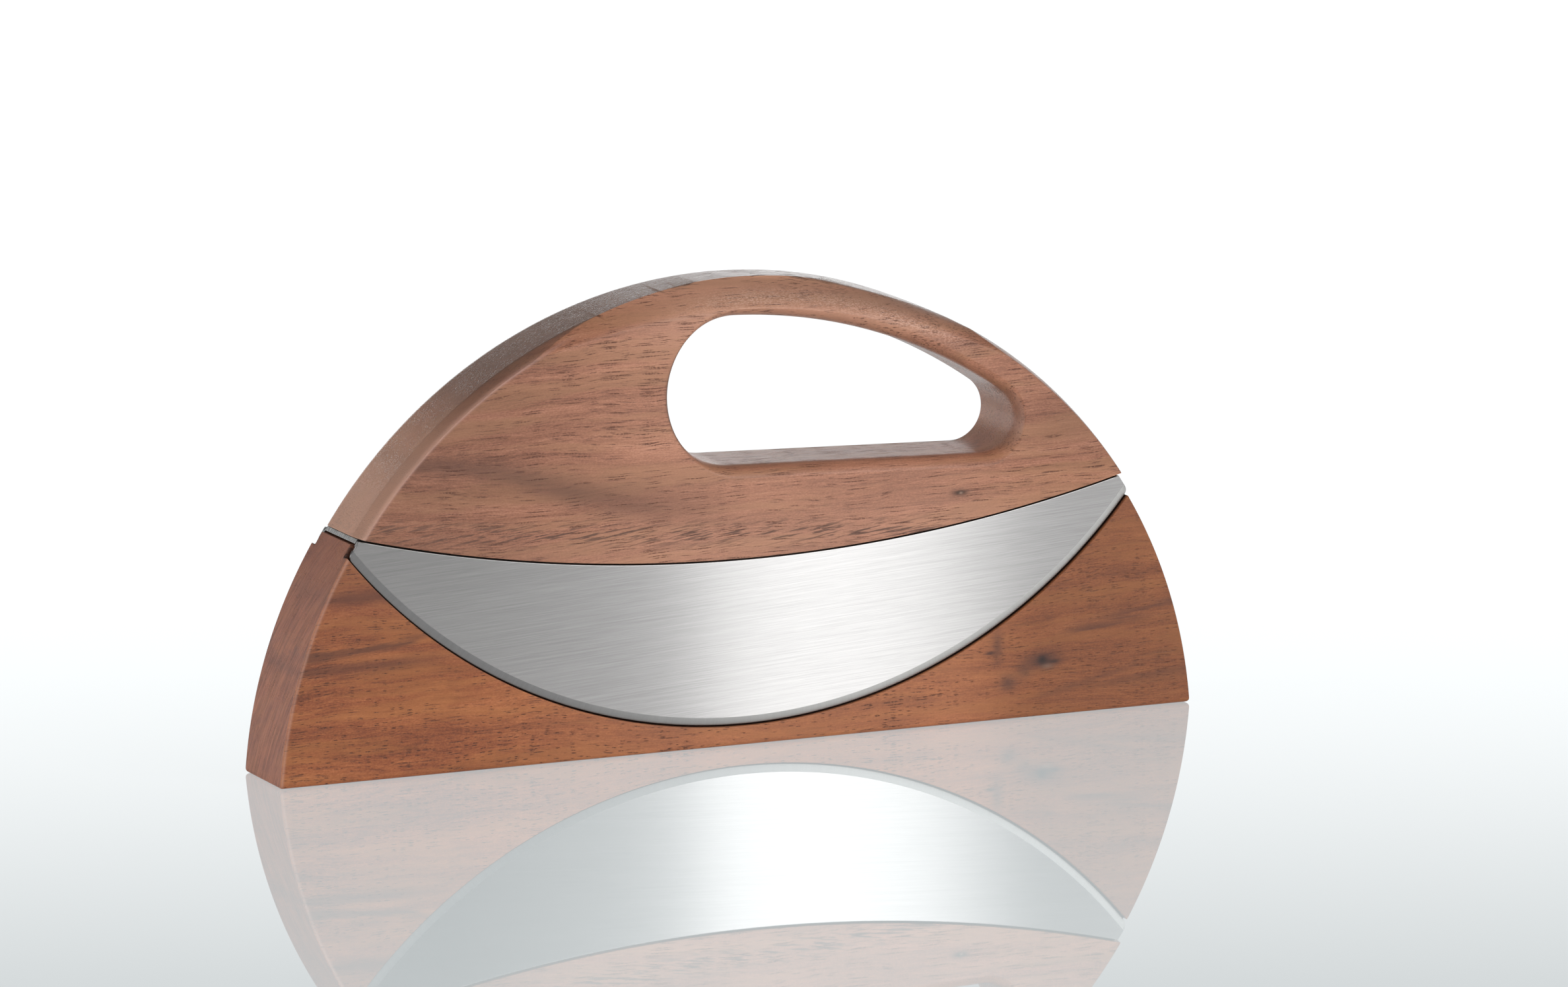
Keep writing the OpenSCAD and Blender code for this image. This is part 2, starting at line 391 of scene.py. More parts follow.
def blade_outline(y):
    """The outline of a blade, from its top right corner round its end and along the edge."""
    top_r = BRIDGE_R + TOP_GAP
    span = BRIDGE_Z - BLOCK_Z
    up = (span ** 2 + BLOCK_R ** 2 - top_r ** 2) / (2 * span)
    tip = (math.sqrt(BLOCK_R ** 2 - up ** 2), BLOCK_Z + up)
    cx, cz = tip_centre()
    right, left = (TOOL_X + cx, cz), (TOOL_X - cx, cz)
    arch, edge, top = (TOOL_X, BLOCK_Z), (TOOL_X, BLADE_Z), (TOOL_X, BRIDGE_Z)
    tip_turn = turn_of((TOOL_X + tip[0], tip[1]), arch)
    end_turn = turn_of(right, arch)
    edge_turn = turn_of(right, edge)
    top_turn = turn_of((TOOL_X + tip[0], tip[1]), top)
    return trace("outline", y, (TOOL_X + tip[0], tip[1]), [
        (arch, end_turn - tip_turn, 4),
        (right, edge_turn - end_turn, 8),
        (edge, -180 - 2 * edge_turn, 260),
        (left, edge_turn - end_turn, 8),
        (arch, end_turn - tip_turn, 4),
        (top, 180 + 2 * top_turn, 120)])


def model_blade():
    """The front blade: two outlines skinned, then ground from both faces."""
    blade = join([blade_outline(-BLADE_IN), blade_outline(-BLADE_OUT)])
    blade.name = "blade_front"
    bridge(blade, -BLADE_IN, -BLADE_OUT)
    close_ends(blade)
    edge = (BLADE_IN + BLADE_OUT) / 2
    stone = disc("stone", BLADE_R + 0.01, -edge - HALF_LAND, -edge + HALF_LAND, TOOL_X, BLADE_Z, 900)
    narrow = (BLADE_R - CONE_IN) / BLADE_R
    for side in (-1, 1):
        pick(stone, "FACE", lambda f: f.normal.y * side > 0.9)
        bpy.ops.mesh.extrude_region_move(TRANSFORM_OT_translate={"value": (0, side * CONE_DEEP * MM, 0)})
        bpy.ops.transform.resize(value=(narrow, 1, narrow),
                                 center_override=(TOOL_X * MM, 0, BLADE_Z * MM))
        close_edit()
    combine(blade, stone, "INTERSECT")
    tidy_mesh(blade)
    soften(blade, 0.14, 50, 2)
    smooth(blade, 20)
    return blade


def mirrored(piece):
    """A copy of a piece for the other side, with its own mesh."""
    take(piece)
    bpy.ops.object.duplicate()
    copy = bpy.context.object
    pick(copy, "VERT", lambda v: True)
    bpy.ops.transform.resize(value=(1, -1, 1), center_override=(0, 0, 0))
    bpy.ops.mesh.normals_make_consistent(inside=False)
    close_edit()
    return copy


def model_bridge():
    plate = disc("bridge_plate", BRIDGE_R + PLATE_UNDER, -BLADE_IN, BLADE_IN, TOOL_X, BRIDGE_Z, 1200)
    upper = disc("upper", BRIDGE_R + PLATE_TOP, -BEYOND, BEYOND, TOOL_X, BRIDGE_Z, 1200)
    combine(plate, upper, "DIFFERENCE")
    arch = disc("arch", BLOCK_R, -BEYOND, BEYOND, TOOL_X, BLOCK_Z, 420)
    combine(plate, arch, "INTERSECT")
    tidy_mesh(plate)
    soften(plate, 0.08, 50, 2)
    smooth(plate, 25)
    return plate


# Finishes

class Link:
    """One output of a node. Arithmetic between links and numbers adds Math nodes."""

    def __init__(self, finish, socket):
        self.finish = finish
        self.socket = socket

    def __add__(self, other):
        return self.finish.math("ADD", self, other)

    __radd__ = __add__

    def __sub__(self, other):
        return self.finish.math("SUBTRACT", self, other)

    def __rsub__(self, other):
        return self.finish.math("SUBTRACT", other, self)

    def __mul__(self, other):
        return self.finish.math("MULTIPLY", self, other)

    __rmul__ = __mul__

    def __truediv__(self, other):
        return self.finish.math("DIVIDE", self, other)

    def __rtruediv__(self, other):
        return self.finish.math("DIVIDE", other, self)

    def __pow__(self, other):
        return self.finish.math("POWER", self, other)

    def __abs__(self):
        return self.finish.math("ABSOLUTE", self)


class Finish:
    """A material, or the world, while its nodes are being laid out."""

    def __init__(self, owner):
        self.owner = owner
        owner.use_nodes = True
        self.tree = owner.node_tree
        self.tree.nodes.clear()

    def node(self, kind, settings, inputs, output=0):
        """Adds a node: its settings first, then the values or links of its sockets."""
        made = self.tree.nodes.new("ShaderNode" + kind)
        for name, value in settings.items():
            if name == "stops":
                ramp = made.color_ramp.elements
                while len(ramp) < len(value):
                    ramp.new(0.5)
                for stop, (position, colour) in zip(ramp, value):
                    stop.position = position
                    stop.color = (*colour, 1)
            else:
                setattr(made, name, value)
        for name, value in inputs.items():
            if isinstance(value, Link):
                self.tree.links.new(value.socket, made.inputs[name])
            else:
                made.inputs[name].default_value = value
        return Link(self, made.outputs[output]) if len(made.outputs) else made

    def position(self):
        """The place on the piece in millimetres, as one vector."""
        place = self.node("TexCoord", {}, {}, "Object")
        return self.node("VectorMath", {"operation": "SCALE"}, {0: place, "Scale": 1000.0})

    def normal(self):
        """The direction in which the surface faces, as one vector."""
        return self.node("TexCoord", {}, {}, "Normal")

    def axes(self, vector):
        """The x, y and z of a vector."""
        split = self.node("SeparateXYZ", {}, {0: vector}).socket.node
        return [Link(self, output) for output in split.outputs]

    def math(self, operation, *values):
        return self.node("Math", {"operation": operation}, dict(enumerate(values)))

    def vector(self, x, y, z):
        return self.node("CombineXYZ", {}, {0: x, 1: y, 2: z})

    def noise(self, vector, detail, rough=0.5):
        """Cloudy noise about 1 unit across, so the vector's own factors set its size."""
        return self.node("TexNoise", {}, {"Vector": vector, "Scale": 1.0, "Detail": detail,
                                          "Roughness": rough})

    def rise(self, value, low, high, bottom=0.0, top=1.0):
        """A soft step from bottom to top while the value goes from low to high."""
        return self.node("MapRange", {"interpolation_type": "SMOOTHSTEP"},
                         {0: value, 1: low, 2: high, 3: bottom, 4: top})

    def mix(self, factor, a, b, blend="MIX"):
        pair = [value if isinstance(value, Link) else (*value, 1) for value in (a, b)]
        return self.node("Mix", {"data_type": "RGBA", "blend_type": blend},
                         {0: factor, 6: pair[0], 7: pair[1]}, 2)

    def bump(self, height, distance, strength):
        """Relief of the given depth in millimetres."""
        return self.node("Bump", {}, {"Height": height, "Distance": distance * MM,
                                      "Strength": strength})

    def surface(self, **inputs):
        """The material's Principled shader, wired to its output."""
        named = {name.replace("_", " "): value for name, value in inputs.items()}
        shader = self.node("BsdfPrincipled", {}, named)
        self.node("OutputMaterial", {}, {"Surface": shader})
        return self.owner


def new_finish(name):
    return Finish(bpy.data.materials.new(name))


def layers(f, x, y, z, wave):
    """Wood coordinates: across the growth layers, and along a layer at right angles to the grain."""
    drift = f.noise(f.vector(x * 0.012, y * 0.03, z * 0.03), 2.0)
    ripple = f.noise(f.vector(x * 0.06, y * 0.1, z * 0.10), 2.0)
    across = z * 0.78 + y * 0.62 + (drift - 0.5) * wave + (ripple - 0.5) * (wave * 0.2)
    return across, y * 0.78 - z * 0.62


def gauss(f, distance):
    """A soft hump, 1 where the distance is 0."""
    return f.math("EXPONENT", distance * distance * -1.0)


def streak(f, x, z, line, half, x_low, x_high, fade):
    """A soft dark band round a line at height line, between two limits along the piece."""
    left = f.rise(x, x_low - fade, x_low + fade)
    right = f.rise(x, x_high - fade, x_high + fade, 1.0, 0.0)
    return gauss(f, (z - line) / half) * left * right


def away_from(f, x, z, at_x, at_z):
    """The distance from an axis that runs from front to back."""
    return f.math("SQRT", (x - at_x) ** 2.0 + (z - at_z) ** 2.0)


def spot(f, x, z, at_x, at_z, half_x, half_z):
    """A soft round mark on the front, as of a knot."""
    dx = (x - at_x) / half_x
    dz = (z - at_z) / half_z
    return f.math("EXPONENT", (dx * dx + dz * dz) * -1.0)


def pores(f, x, across, level, length, width, low, high, clusters):
    """Open pores cut along their length: crisp dark lines along the grain, some deeper than others."""
    place = f.vector(x / length, across / width, level / (width * 1.6))
    reach = f.node("TexVoronoi", {}, {"Vector": place, "Scale": 1.0}, "Distance")
    chance = f.axes(Link(f, reach.socket.node.outputs["Color"]))[0]
    deep = f.rise(chance + (clusters - 0.5) * 1.3, low, high)
    dots = f.noise(f.vector(x * 1.7, across * 2.0, level * 2.0), 1.0)
    return f.rise(reach, 0.22, 0.46, 1.0, 0.0) * deep * f.rise(dots, 0.36, 0.56, 0.35, 1.0)


def end_grain(f, low, high):
    """1 where a surface is cut across the grain."""
    return f.rise(abs(f.axes(f.normal())[0]), low, high)


def polish(f, z):
    """1 on the rim and inside the finger opening, which the hand has polished."""
    return f.rise(abs(f.axes(f.normal())[1]), 0.12, 0.40, 1.0, 0.0) * f.rise(z, 60, 80)


def handle_wood():
    f = new_finish("handle_wood")
    x, y, z = f.axes(f.position())
    across, level = layers(f, x, y, z, 9)
    broad = f.noise(f.vector(x * 0.010, across * 0.12, level * 0.05), 3.0, 0.55)
    middle = f.noise(f.vector(x * 0.022, across * 0.7, level * 0.3), 3.0, 0.6)
    fibre = f.noise(f.vector(x * 0.12, across * 3.4, level * 2.4), 4.0, 0.72)
    gold = f.noise(f.vector(x * 0.015, across * 0.22 + 7.0, level * 0.1), 3.0, 0.6)
    clusters = f.noise(f.vector(x * 0.03, across * 0.13, level * 0.12), 2.0)
    long_pores = pores(f, x, across, level, 11.0, 0.33, 0.50, 0.80, clusters)
    short_pores = pores(f, x, across + 31.0, level, 5.0, 0.26, 0.55, 0.95, clusters)
    # A soft dark streak that dips towards the middle, and the ragged figure above the blade
    bend = f.math("TANH", (x + 52.0) / 26.0)
    spread = f.rise(x, -90, -40, 2.0, 4.2)
    shade = streak(f, x, z, 70.3 - bend * 9.0, spread, -120, -12, 22)
    shade = shade * f.rise(middle, 0.2, 0.75, 0.55, 0.95)
    slant = z - x * 0.13
    ragged = f.noise(f.vector(x * 0.11, slant * 1.5, y * 0.5), 3.0, 0.62)
    low_line = 54.3 - x * 0.065 + x * x * 0.00012
    figure = streak(f, x, z, low_line, 3.0, -112, 62, 20) * f.rise(ragged, 0.50, 0.60)
    speck = f.noise(f.vector(x * 1.6, across * 3.6, level * 3.0), 2.0, 0.6)
    tone = broad * 0.40 + middle * 0.33 + fibre * 0.46 + speck * 0.34 - 0.265
    colour = f.node("ValToRGB", {"stops": [
        (0.33, (0.146, 0.056, 0.034)), (0.43, (0.248, 0.102, 0.059)), (0.49, (0.318, 0.137, 0.081)),
        (0.55, (0.381, 0.169, 0.102)), (0.66, (0.508, 0.251, 0.161))]}, {0: tone})
    colour = f.mix(f.rise(gold, 0.44, 0.62) * 0.55, colour, (0.365, 0.190, 0.098))
    # Partly the wood's own tone and partly painted light: a painted sheen makes it paler in the middle, on
    # the grip and low down, and painted shade makes it darker towards both ends
    over = f.rise(z, 96, 108) * f.rise(x, -45, -5) * f.rise(x, 55, 85, 1.0, 0.0)
    lit = f.rise(x, -70, -5, 0.0, 0.24) * f.rise(x, 50, 90, 1.0, 0.0)
    low = f.rise(z, 52, 64, 0.14, 0.0)
    colour = f.mix(lit + low + over * 0.36, colour, (0.600, 0.350, 0.250))
    # Painted shade, with some of the wood's own tone, darkens both ends
    dim = f.rise(x, -90, -20, 0.32, 0.0) + f.rise(x, 60, 95, 0.0, 0.30) * f.rise(z, 60, 75)
    colour = f.mix(dim, colour, (0.150, 0.075, 0.048))
    colour = f.mix(shade * 0.85, colour, (0.135, 0.064, 0.042))
    colour = f.mix(figure * 0.8, colour, (0.065, 0.036, 0.028))
    colour = f.mix(long_pores * 0.85, colour, (0.088, 0.034, 0.022))
    colour = f.mix(short_pores * 0.8, colour, (0.095, 0.038, 0.025))
    # The small knot under the opening
    colour = f.mix(spot(f, x, z, 60.2, 59.7, 2.4, 0.8), colour, (0.035, 0.017, 0.012))
    colour = f.mix(spot(f, x, z, 60.4, 59.6, 0.5, 0.3), colour, (0.28, 0.19, 0.14))
    colour = f.mix(end_grain(f, 0.25, 0.8) * 0.45, colour, (0.300, 0.190, 0.150))
    # At the left: a painted dark band and a painted highlight along the front edge's rounding, painted shade
    # on the rim above it and painted light on its paler foot
    arch = away_from(f, x, z, HANDLE_X, HANDLE_Z)
    left = f.rise(x, -60, -40, 1.0, 0.0) * f.rise(y, -7.2, -6.8, 1.0, 0.0)
    colour = f.mix(f.rise(arch, 124.9, 125.3) * left * 0.45, colour, (0.130, 0.070, 0.055))
    colour = f.mix(gauss(f, (arch - 124.7) / 0.4) * left * 0.5, colour, (0.470, 0.310, 0.280))
    shine = polish(f, z)
    # Painted shade on the upper rim
    rim = shine * f.rise(arch, 120, 124) * f.rise(z, 82, 100)
    colour = f.mix(rim * 0.75, colour, (0.110, 0.058, 0.036))
    # Painted light on the rim's foot at the left
    foot = f.rise(arch, 124.2, 124.8) * f.rise(z, 76, 96, 1.0, 0.0) * f.rise(x, -60, -40, 1.0, 0.0)
    colour = f.mix(foot * 0.25, colour, (0.640, 0.420, 0.310))
    # The grip's gleam as a painted highlight, and the dark line round the opening's wide end as painted shade
    # Painted highlight along the middle of the grip
    painted_grip_highlight = gauss(f, (arch - 121.6) / 1.7) * f.rise(x, -25, 5) * f.rise(x, 40, 70, 1.0, 0.0)
    painted_grip_highlight = painted_grip_highlight * f.rise(y, -5, -2, 1.0, 0.0) * f.rise(speck, 0.44, 0.60)
    colour = f.mix(painted_grip_highlight * 0.55, colour, (0.780, 0.560, 0.470))
    # Painted shade in a dark line round the opening's wide end
    mouth = away_from(f, x, z, *WIDE_AT)
    edge = gauss(f, (mouth - WIDE_R - 0.25) / 0.5) * f.rise(x, -8, -2, 1.0, 0.0)
    edge = edge * f.rise(y, -11.0, -10.6, 1.0, 0.0)
    colour = f.mix(edge * 0.7, colour, (0.085, 0.042, 0.030))
    colour = f.mix(1.0, colour, (1.07, 0.985, 0.93), "MULTIPLY")
    holes = long_pores + short_pores * 0.6
    dull = f.rise(x, -30, 5, 1.0, 0.0) * f.rise(y, -7.2, -6.8, 1.0, 0.0)
    rough = 0.46 + (fibre - 0.5) * 0.3 + holes * 0.2 - shine * (0.27 - dull * 0.22)
    bump = f.bump(fibre * 0.6 - holes * 0.9 + middle * 0.2, 0.09, 0.7)
    return f.surface(Base_Color=colour, Roughness=rough, Specular_IOR_Level=0.42, Normal=bump)


def block_wood():
    f = new_finish("block_wood")
    x, y, z = f.axes(f.position())
    across, level = layers(f, x, y, z, 8)
    broad = f.noise(f.vector(x * 0.010, across * 0.13 + 3.0, level * 0.04), 3.0, 0.55)
    middle = f.noise(f.vector(x * 0.03, across * 0.5, level * 0.3), 3.0, 0.6)
    fibre = f.noise(f.vector(x * 0.16, across * 2.8, level * 2.4), 4.0, 0.72)
    gold = f.noise(f.vector(x * 0.016, across * 0.2 + 5.0, level * 0.1), 3.0, 0.6)
    mottle = f.noise(f.vector(x * 0.12, z * 0.22, y * 0.2), 3.0, 0.6)
    clusters = f.noise(f.vector(x * 0.03, across * 0.12, level * 0.12), 2.0)
    short_pores = pores(f, x, across, level, 2.2, 0.32, 0.50, 0.85, clusters)
    long_pores = pores(f, x, across + 17.0, level, 7.0, 0.28, 0.58, 0.95, clusters)
    wisp = f.noise(f.vector(x * 0.03, (z - x * 0.06) * 0.30, y * 0.2), 3.0, 0.6)
    veil = f.rise(wisp, 0.42, 0.60)
    # Dark streaks: height at the middle, slope, half width, from and to along the block, fade, strength
    streaks = (
        (46.5, 0.0, 1.8, -112, -88, 6, 0.9),
        (38.5, 0.05, 2.6, -140, -62, 12, veil),
        (31.0, 0.02, 1.6, -140, -84, 12, 0.8),
        (-1.5, 0.235, 2.4, 90, 140, 7, veil),
        (6.0, 0.03, 3.0, 90, 140, 9, veil * 0.7),
        (-13.0, 0.22, 1.0, 82, 112, 8, 0.5))
    shade = 0.0
    for height, slope, half, x_low, x_high, fade, strength in streaks:
        shade = shade + streak(f, x, z, x * slope + height, half, x_low, x_high, fade) * strength
    shade = f.math("MINIMUM", shade, 1.0)
    speck = f.noise(f.vector(x * 1.6, across * 3.2, level * 3.0), 2.0, 0.6)
    tone = broad * 0.34 + middle * 0.30 + fibre * 0.40 + mottle * 0.20 + speck * 0.30 - 0.27
    colour = f.node("ValToRGB", {"stops": [
        (0.33, (0.136, 0.039, 0.016)), (0.43, (0.234, 0.071, 0.027)), (0.49, (0.296, 0.094, 0.034)),
        (0.55, (0.357, 0.122, 0.044)), (0.66, (0.480, 0.180, 0.069))]}, {0: tone})
    colour = f.mix(f.rise(gold, 0.44, 0.62) * 0.55, colour, (0.380, 0.150, 0.047))
    # Painted sheen across the middle; darker towards the right end
    lit = f.rise(x, -80, -10, 0.0, 0.26) * f.rise(x, 55, 85, 1.0, 0.0)
    colour = f.mix(lit, colour, (0.560, 0.280, 0.160))
    colour = f.mix(f.rise(x, 55, 90, 0.0, 0.42), colour, (0.150, 0.062, 0.026))
    colour = f.mix(shade * 0.8, colour, (0.100, 0.038, 0.024))
    seen = f.rise(x, 40, 80, 0.9, 0.6)
    colour = f.mix(short_pores * seen, colour, (0.062, 0.022, 0.014))
    colour = f.mix(long_pores * seen, colour, (0.066, 0.023, 0.014))
    # The knot on the right and the stains round it: place, half size, strength, colour
    stains = (
        (83.4, 14.4, 4.6, 2.2, 0.90, (0.050, 0.022, 0.020)),
        (83.2, 14.6, 1.3, 1.2, 1.00, (0.022, 0.011, 0.009)),
        (86.4, 14.0, 1.8, 0.5, 0.90, (0.040, 0.018, 0.013)),
        (84.6, 12.9, 1.6, 0.6, 0.60, (0.200, 0.130, 0.100)),
        (78.0, 12.2, 2.4, 2.4, 0.55, (0.090, 0.042, 0.030)),
        (73.5, 9.5, 2.6, 2.4, 0.75, (0.080, 0.038, 0.030)),
        (70.6, 19.0, 1.6, 4.4, 0.65, (0.090, 0.040, 0.030)),
        (68.6, 17.6, 1.5, 0.5, 0.90, (0.050, 0.022, 0.020)))
    for at_x, at_z, half_x, half_z, strength, stain in stains:
        colour = f.mix(spot(f, x, z, at_x, at_z, half_x, half_z) * strength, colour, stain)
    # End grain with its rays, darker near the top at the left
    rays = f.noise(f.vector(y * 1.3 + z * 0.45, z * 0.10, x * 0.1), 3.0, 0.7)
    ends = f.mix(f.rise(rays, 0.32, 0.66), (0.090, 0.034, 0.024), (0.262, 0.110, 0.077))
    colour = f.mix(end_grain(f, 0.6, 0.95) * 0.7, colour, ends)
    colour = f.mix(f.rise(z, 30, 56) * f.rise(x, -90, -80, 1.0, 0.0) * 0.4, colour, (0.130, 0.048, 0.034))
    # Painted shade on the pocket wall behind the blade's edge and on the tongue beside it, and a painted
    # highlight on the front edge at the left
    reach = away_from(f, x, z, POCKET_X, BLADE_Z)
    depth = abs(y)
    painted_pocket_shade = gauss(f, (reach - POCKET_R) / 0.45) * f.rise(depth, 10.6, 11.0, 1.0, 0.0)
    painted_pocket_shade = painted_pocket_shade * f.rise(depth, TONGUE - 0.3, TONGUE - 0.1)
    colour = f.mix(painted_pocket_shade, colour, (0.018, 0.009, 0.007))
    # Painted shade on the tongue's face near the pocket's edge
    side = f.rise(reach, POCKET_R - 4.0, POCKET_R - 2.5) * f.rise(reach, POCKET_R, POCKET_R + 0.3, 1.0, 0.0)
    side = side * gauss(f, (depth - TONGUE) / 0.3)
    colour = f.mix(side * 0.8, colour, (0.030, 0.014, 0.011))
    # Painted highlight along the front edge at the left
    arch = away_from(f, x, z, 0.0, BLOCK_Z)
    painted_edge_highlight = gauss(f, (arch - 124.9) / 0.4) * f.rise(x, -100, -90, 1.0, 0.0) * f.rise(y, -11.5, -11.2, 1.0, 0.0)
    colour = f.mix(painted_edge_highlight * 0.45, colour, (0.520, 0.320, 0.260))
    colour = f.mix(1.0, colour, (1.04, 0.95, 0.86), "MULTIPLY")
    holes = short_pores + long_pores * 0.6
    rough = 0.46 + (fibre - 0.5) * 0.3 + holes * 0.2
    bump = f.bump(fibre * 0.6 - holes * 0.9 + middle * 0.2, 0.09, 0.7)
    return f.surface(Base_Color=colour, Roughness=rough, Specular_IOR_Level=0.42, Normal=bump)


def brushed_steel():
    f = new_finish("brushed_steel")
    x, y, z = f.axes(f.position())
    rise = z - x * 0.06
    bow = f.noise(f.vector(x * 0.02, y, rise * 0.05), 1.0)
    lines = f.noise(f.vector(x * 0.02, y, rise * 5.5 + bow * 1.0), 3.0, 0.75)
    short = f.noise(f.vector(x * 0.10, y, rise * 9.0), 2.0, 0.6)
    grain = lines * 0.5 + short * 0.5
    colour = f.mix(f.rise(grain, 0.3, 0.7), (0.497, 0.491, 0.487), (0.610, 0.603, 0.598))
    return f.surface(Base_Color=colour, Metallic=1.0, Roughness=0.21 + (grain - 0.5) * 0.08,
                     Anisotropic=0.95, Anisotropic_Rotation=0.27,
                     Normal=f.bump(grain, 0.006, 0.06))


def ground_steel():
    """The bevel along the cutting edge, with the wheel's marks across it."""
    f = new_finish("ground_steel")
    x, y, z = f.axes(f.position())
    turn = f.math("ARCTAN2", x - TOOL_X, BLADE_Z - z)
    marks = f.noise(f.vector(turn * 420.0, y * 0.4, 0.0), 3.0, 0.7)
    dark = f.mix(marks, (0.19, 0.19, 0.19), (0.27, 0.27, 0.27))
    light = f.mix(marks, (0.38, 0.38, 0.37), (0.52, 0.52, 0.51))
    # Painted reflection: the bevel is darker at the left and lighter at the right
    colour = f.mix(f.rise(x, -70, 50), dark, light)
    return f.surface(Base_Color=colour, Metallic=1.0, Roughness=0.42 + (marks - 0.5) * 0.2,
                     Normal=f.bump(marks, 0.02, 0.4))


def sawn_steel():
    """The bridge plate, whose sawn end shows between the blades."""
    f = new_finish("sawn_steel")
    x, y, z = f.axes(f.position())
    cuts = f.noise(f.vector(x * 0.3, y * 2.2, z * 0.3), 2.0, 0.7)
    colour = f.mix(f.rise(cuts, 0.35, 0.62), (0.22, 0.22, 0.22), (0.60, 0.60, 0.585))
    # Painted shade: nearly black on the faces next to the blades
    colour = f.mix(f.rise(abs(y), 9.7, 9.95), colour, (0.02, 0.018, 0.016))
    return f.surface(Base_Color=colour, Metallic=0.9, Roughness=0.42 + (cuts - 0.5) * 0.3,
                     Normal=f.bump(cuts, 0.12, 0.8))


def screw_steel():
    f = new_finish("screw_steel")
    x, y, z = f.axes(f.position())
    turned = f.noise(f.vector(x * 0.8, y * 0.8, z * 6.0), 2.0)
    colour = f.mix(turned, (0.42, 0.42, 0.42), (0.62, 0.62, 0.61))
    return f.surface(Base_Color=colour, Metallic=1.0, Roughness=0.3 + (turned - 0.5) * 0.2)


def insert_brass():
    f = new_finish("insert_brass")
    x, y, z = f.axes(f.position())
    knurl = f.noise(f.vector(x * 2.5, y * 2.5, z * 0.4), 2.0)
    colour = f.mix(knurl, (0.55, 0.38, 0.14), (0.78, 0.58, 0.27))
    return f.surface(Base_Color=colour, Metallic=1.0, Roughness=0.34 + (knurl - 0.5) * 0.2,
                     Normal=f.bump(knurl, 0.1, 0.5))


def finish_pieces(pieces):
    """Gives each piece its material and its body, names it after its CAD node and hides that node."""
    wood_block, wood_handle, steel, ground = block_wood(), handle_wood(), brushed_steel(), ground_steel()
    looks = {
        "storage_block": (wood_block, "block", "block_wood"),
        "handle": (wood_handle, "chopper", "handle_wood"),
        "blade_front": (steel, "chopper", "blade_steel"),
        "blade_rear": (steel, "chopper", "blade_steel"),
        "bridge_plate": (sawn_steel(), "chopper", "blade_steel")}
    for node, piece in pieces.items():
        material, body, slot = looks[node]
        piece.name = piece.data.name = node + "_made"
        piece.data.materials.clear()
        piece.data.materials.append(material)
        if node.startswith("blade_"):
            piece.data.materials.append(ground)
            for face in piece.data.polygons:
                reach = math.hypot(face.center.x - TOOL_X * MM, face.center.z - BLADE_Z * MM)
                face.material_index = 1 if reach > (BLADE_R - BEVEL_WIDE) * MM else 0
        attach(piece, body)
        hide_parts(node)
    for node, material in (("bridge_screws", screw_steel()), ("threaded_inserts", insert_brass())):
        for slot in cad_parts[node].material_slots:
            slot.material = material


# The photograph's view

CAMERA_TURN, CAMERA_RISE, CAMERA_ROLL = -24.1986, 10.6120, -0.2267
CAMERA_PLACE = (-1.068486, -2.414906, 0.557004)
SENSOR_MM = 36
PHOTO_PIXELS, LENS_PIXELS = 2375, 16209.56


def set_camera():
    """A long lens, 24 degrees to the left of the front and 11 degrees above the table."""
    turn, rise, roll = (math.radians(angle) for angle in (CAMERA_TURN, CAMERA_RISE, CAMERA_ROLL))
    back = Vector((math.sin(turn) * math.cos(rise), -math.cos(turn) * math.cos(rise), math.sin(rise)))
    right = Vector((math.cos(turn), math.sin(turn), 0))
    up = back.cross(right)
    rolled_right = right * math.cos(roll) + up * math.sin(roll)
    rolled_up = up * math.cos(roll) - right * math.sin(roll)
    aim = Matrix((rolled_right, rolled_up, back)).transposed().to_4x4()
    bpy.ops.object.camera_add(location=CAMERA_PLACE)
    camera = bpy.context.object
    camera.name = "camera"
    camera.matrix_world = Matrix.Translation(CAMERA_PLACE) @ aim
    camera.data.sensor_width = SENSOR_MM
    camera.data.lens = LENS_PIXELS / PHOTO_PIXELS * SENSOR_MM
    camera.data.clip_end = 50
    bpy.context.scene.camera = camera


def shows_background(f):
    """1 for rays that see the background: from the camera, off gloss or through glass."""
    seen = [f.node("LightPath", {}, {}, name)
            for name in ("Is Camera Ray", "Is Glossy Ray", "Is Transmission Ray")]
    return f.math("MINIMUM", seen[0] + seen[1] + seen[2], 1.0)


def lay_floor():
    """A glossy white table that fades the object's mirror image and keeps its shadow."""
    clear_selection()
    bpy.ops.mesh.primitive_plane_add(size=30, location=(0, 0, -0.0001))
    floor = bpy.context.object
    floor.name = "floor"
    f = new_finish("white_table")
    matte = f.node("BsdfDiffuse", {}, {"Color": (0.80, 0.80, 0.80, 1)})
    camera = f.node("LightPath", {}, {}, "Is Camera Ray")
    pale = f.mix(camera, (0.93, 0.93, 0.93), (0.955, 1.035, 1.055))
    glow = f.node("Emission", {}, {"Color": pale, "Strength": 1.08})
    seen = shows_background(f)
    lit = f.node("MixShader", {}, {0: seen * 0.8, 1: matte, 2: glow})
    mirror = f.node("BsdfGlossy", {}, {"Color": (1, 1, 1, 1), "Roughness": 0.012})
    fresnel = f.node("Fresnel", {}, {"IOR": 1.6})
    gloss = f.node("MixShader", {}, {0: fresnel * 1.6, 1: lit, 2: mirror})
    f.node("OutputMaterial", {}, {"Surface": gloss})
    floor.data.materials.append(f.owner)


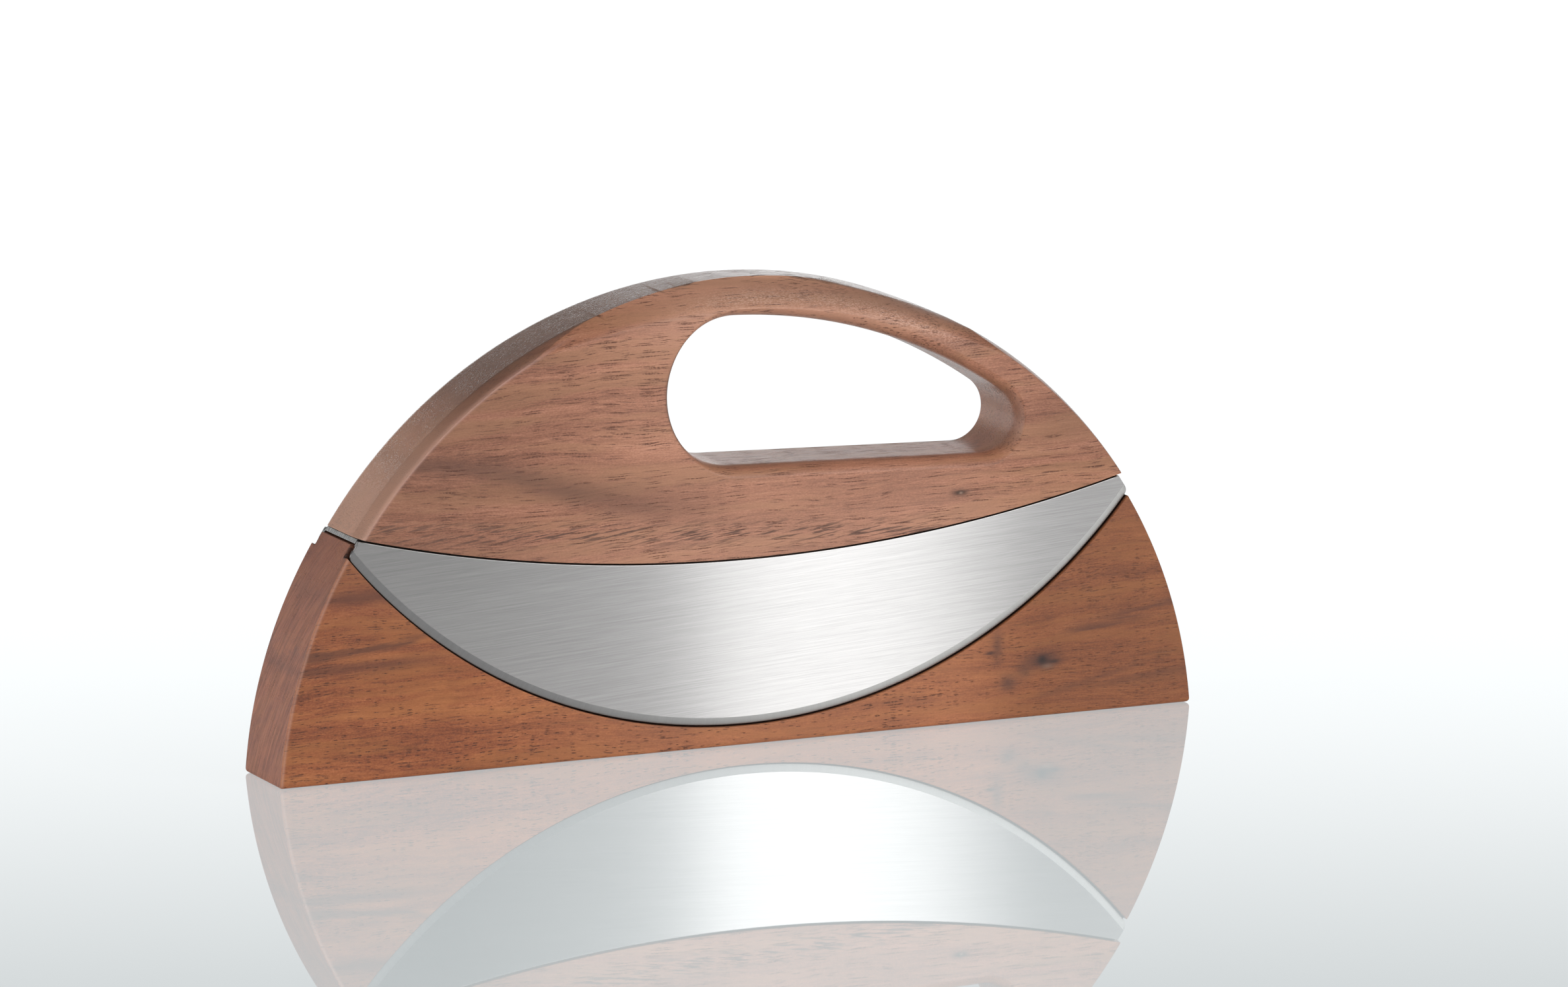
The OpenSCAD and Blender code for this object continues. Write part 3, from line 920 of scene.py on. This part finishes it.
def light_world():
    """A white sweep round the object that turns grey overhead."""
    f = Finish(bpy.context.scene.world or bpy.data.worlds.new("studio"))
    bpy.context.scene.world = f.owner
    height = f.axes(f.node("TexCoord", {}, {}, "Generated"))[2]
    colour = f.mix(f.rise(height, 0.19, 0.25), (1, 1, 1), (0.12, 0.12, 0.12))
    seen = shows_background(f)
    background = f.node("Background", {}, {"Color": colour, "Strength": 0.62 + seen * 0.5})
    f.node("OutputWorld", {}, {"Surface": background})


def softbox(name, place, aim, width, height, power):
    """A rectangular lamp in metres and watts, which no camera sees."""
    bpy.ops.object.light_add(type="AREA", location=place)
    lamp = bpy.context.object
    lamp.name = name
    lamp.data.shape = "RECTANGLE"
    lamp.data.size = width
    lamp.data.size_y = height
    lamp.data.energy = power
    lamp.rotation_euler = (Vector(aim) - Vector(place)).to_track_quat("-Z", "Y").to_euler()
    lamp.visible_camera = False
    return lamp


def light_panel():
    """A panel in front of the object that only gloss sees: dim, with one bright column."""
    clear_selection()
    bpy.ops.mesh.primitive_plane_add(size=1, location=(0.15, -0.30, 0.40), rotation=(math.pi / 2, 0, 0))
    panel = bpy.context.object
    panel.name = "light_panel"
    panel.scale = (1.5, 0.8, 1)
    bpy.ops.object.transform_apply(location=True, rotation=True, scale=True)
    f = new_finish("light_panel")
    x, y, z = f.axes(f.position())
    lean = x + z * -0.05
    # The panel's light along its length: place in millimetres and level
    levels = ((-200, 0.02), (-150, 0.30), (-60, 0.30), (-40, 0.02), (35, 0.02), (85, 0.13), (103, 0.20),
              (119, 0.78), (145, 0.86), (178, 0.76), (196, 0.44), (212, 0.11), (240, 0.13), (300, 0.40))
    first, last = levels[0][0], levels[-1][0]
    stops = [((at - first) / (last - first), (level, level, level)) for at, level in levels]
    bright = f.node("ValToRGB", {"stops": stops}, {0: (lean - first) / (last - first)})
    glow = f.node("Emission", {}, {"Color": bright, "Strength": 2.5})
    behind = f.node("NewGeometry", {}, {}, "Backfacing")
    clear = f.node("BsdfTransparent", {}, {})
    one_sided = f.node("MixShader", {}, {0: behind, 1: clear, 2: glow})
    f.node("OutputMaterial", {}, {"Surface": one_sided})
    panel.data.materials.append(f.owner)
    panel.visible_camera = False
    panel.visible_diffuse = False
    panel.visible_shadow = False
    panel.visible_transmission = False


def only_on(lamp, pieces):
    """Keeps a lamp off everything but these pieces, so the glossy floor doesn't mirror it."""
    lit = bpy.data.collections.new(lamp.name + "_pieces")
    for piece in pieces:
        lit.objects.link(piece)
    lamp.light_linking.receiver_collection = lit


def light_studio(wooden):
    """The sweep, the panel in front and five lamps, the last one for the wooden pieces alone."""
    light_world()
    light_panel()
    softbox("key", (0.75, -1.5, 0.65), (0, 0, 0.05), 1.0, 0.8, 17)
    softbox("fill", (-1.2, -1.0, 0.35), (0, 0, 0.05), 0.8, 0.5, 5)
    softbox("side", (-1.5, 0.1, 0.35), (0, 0, 0.05), 0.8, 0.5, 11)
    softbox("rear", (0.3, 1.5, 1.0), (0, 0, 0.05), 1.2, 0.8, 0.8)
    low = softbox("low_rear", (1.2, 2.7, 0.50), (0, 0, 0.1), 3.4, 0.30, 5)
    only_on(low, wooden)


def main():
    blade, block, handle = model_blade(), model_block(), model_handle()
    finish_pieces({
        "storage_block": block, "handle": handle, "blade_front": blade,
        "blade_rear": mirrored(blade), "bridge_plate": model_bridge()})
    set_camera()
    lay_floor()
    light_studio((block, handle))
    bpy.context.scene.view_settings.view_transform = "Standard"


main()
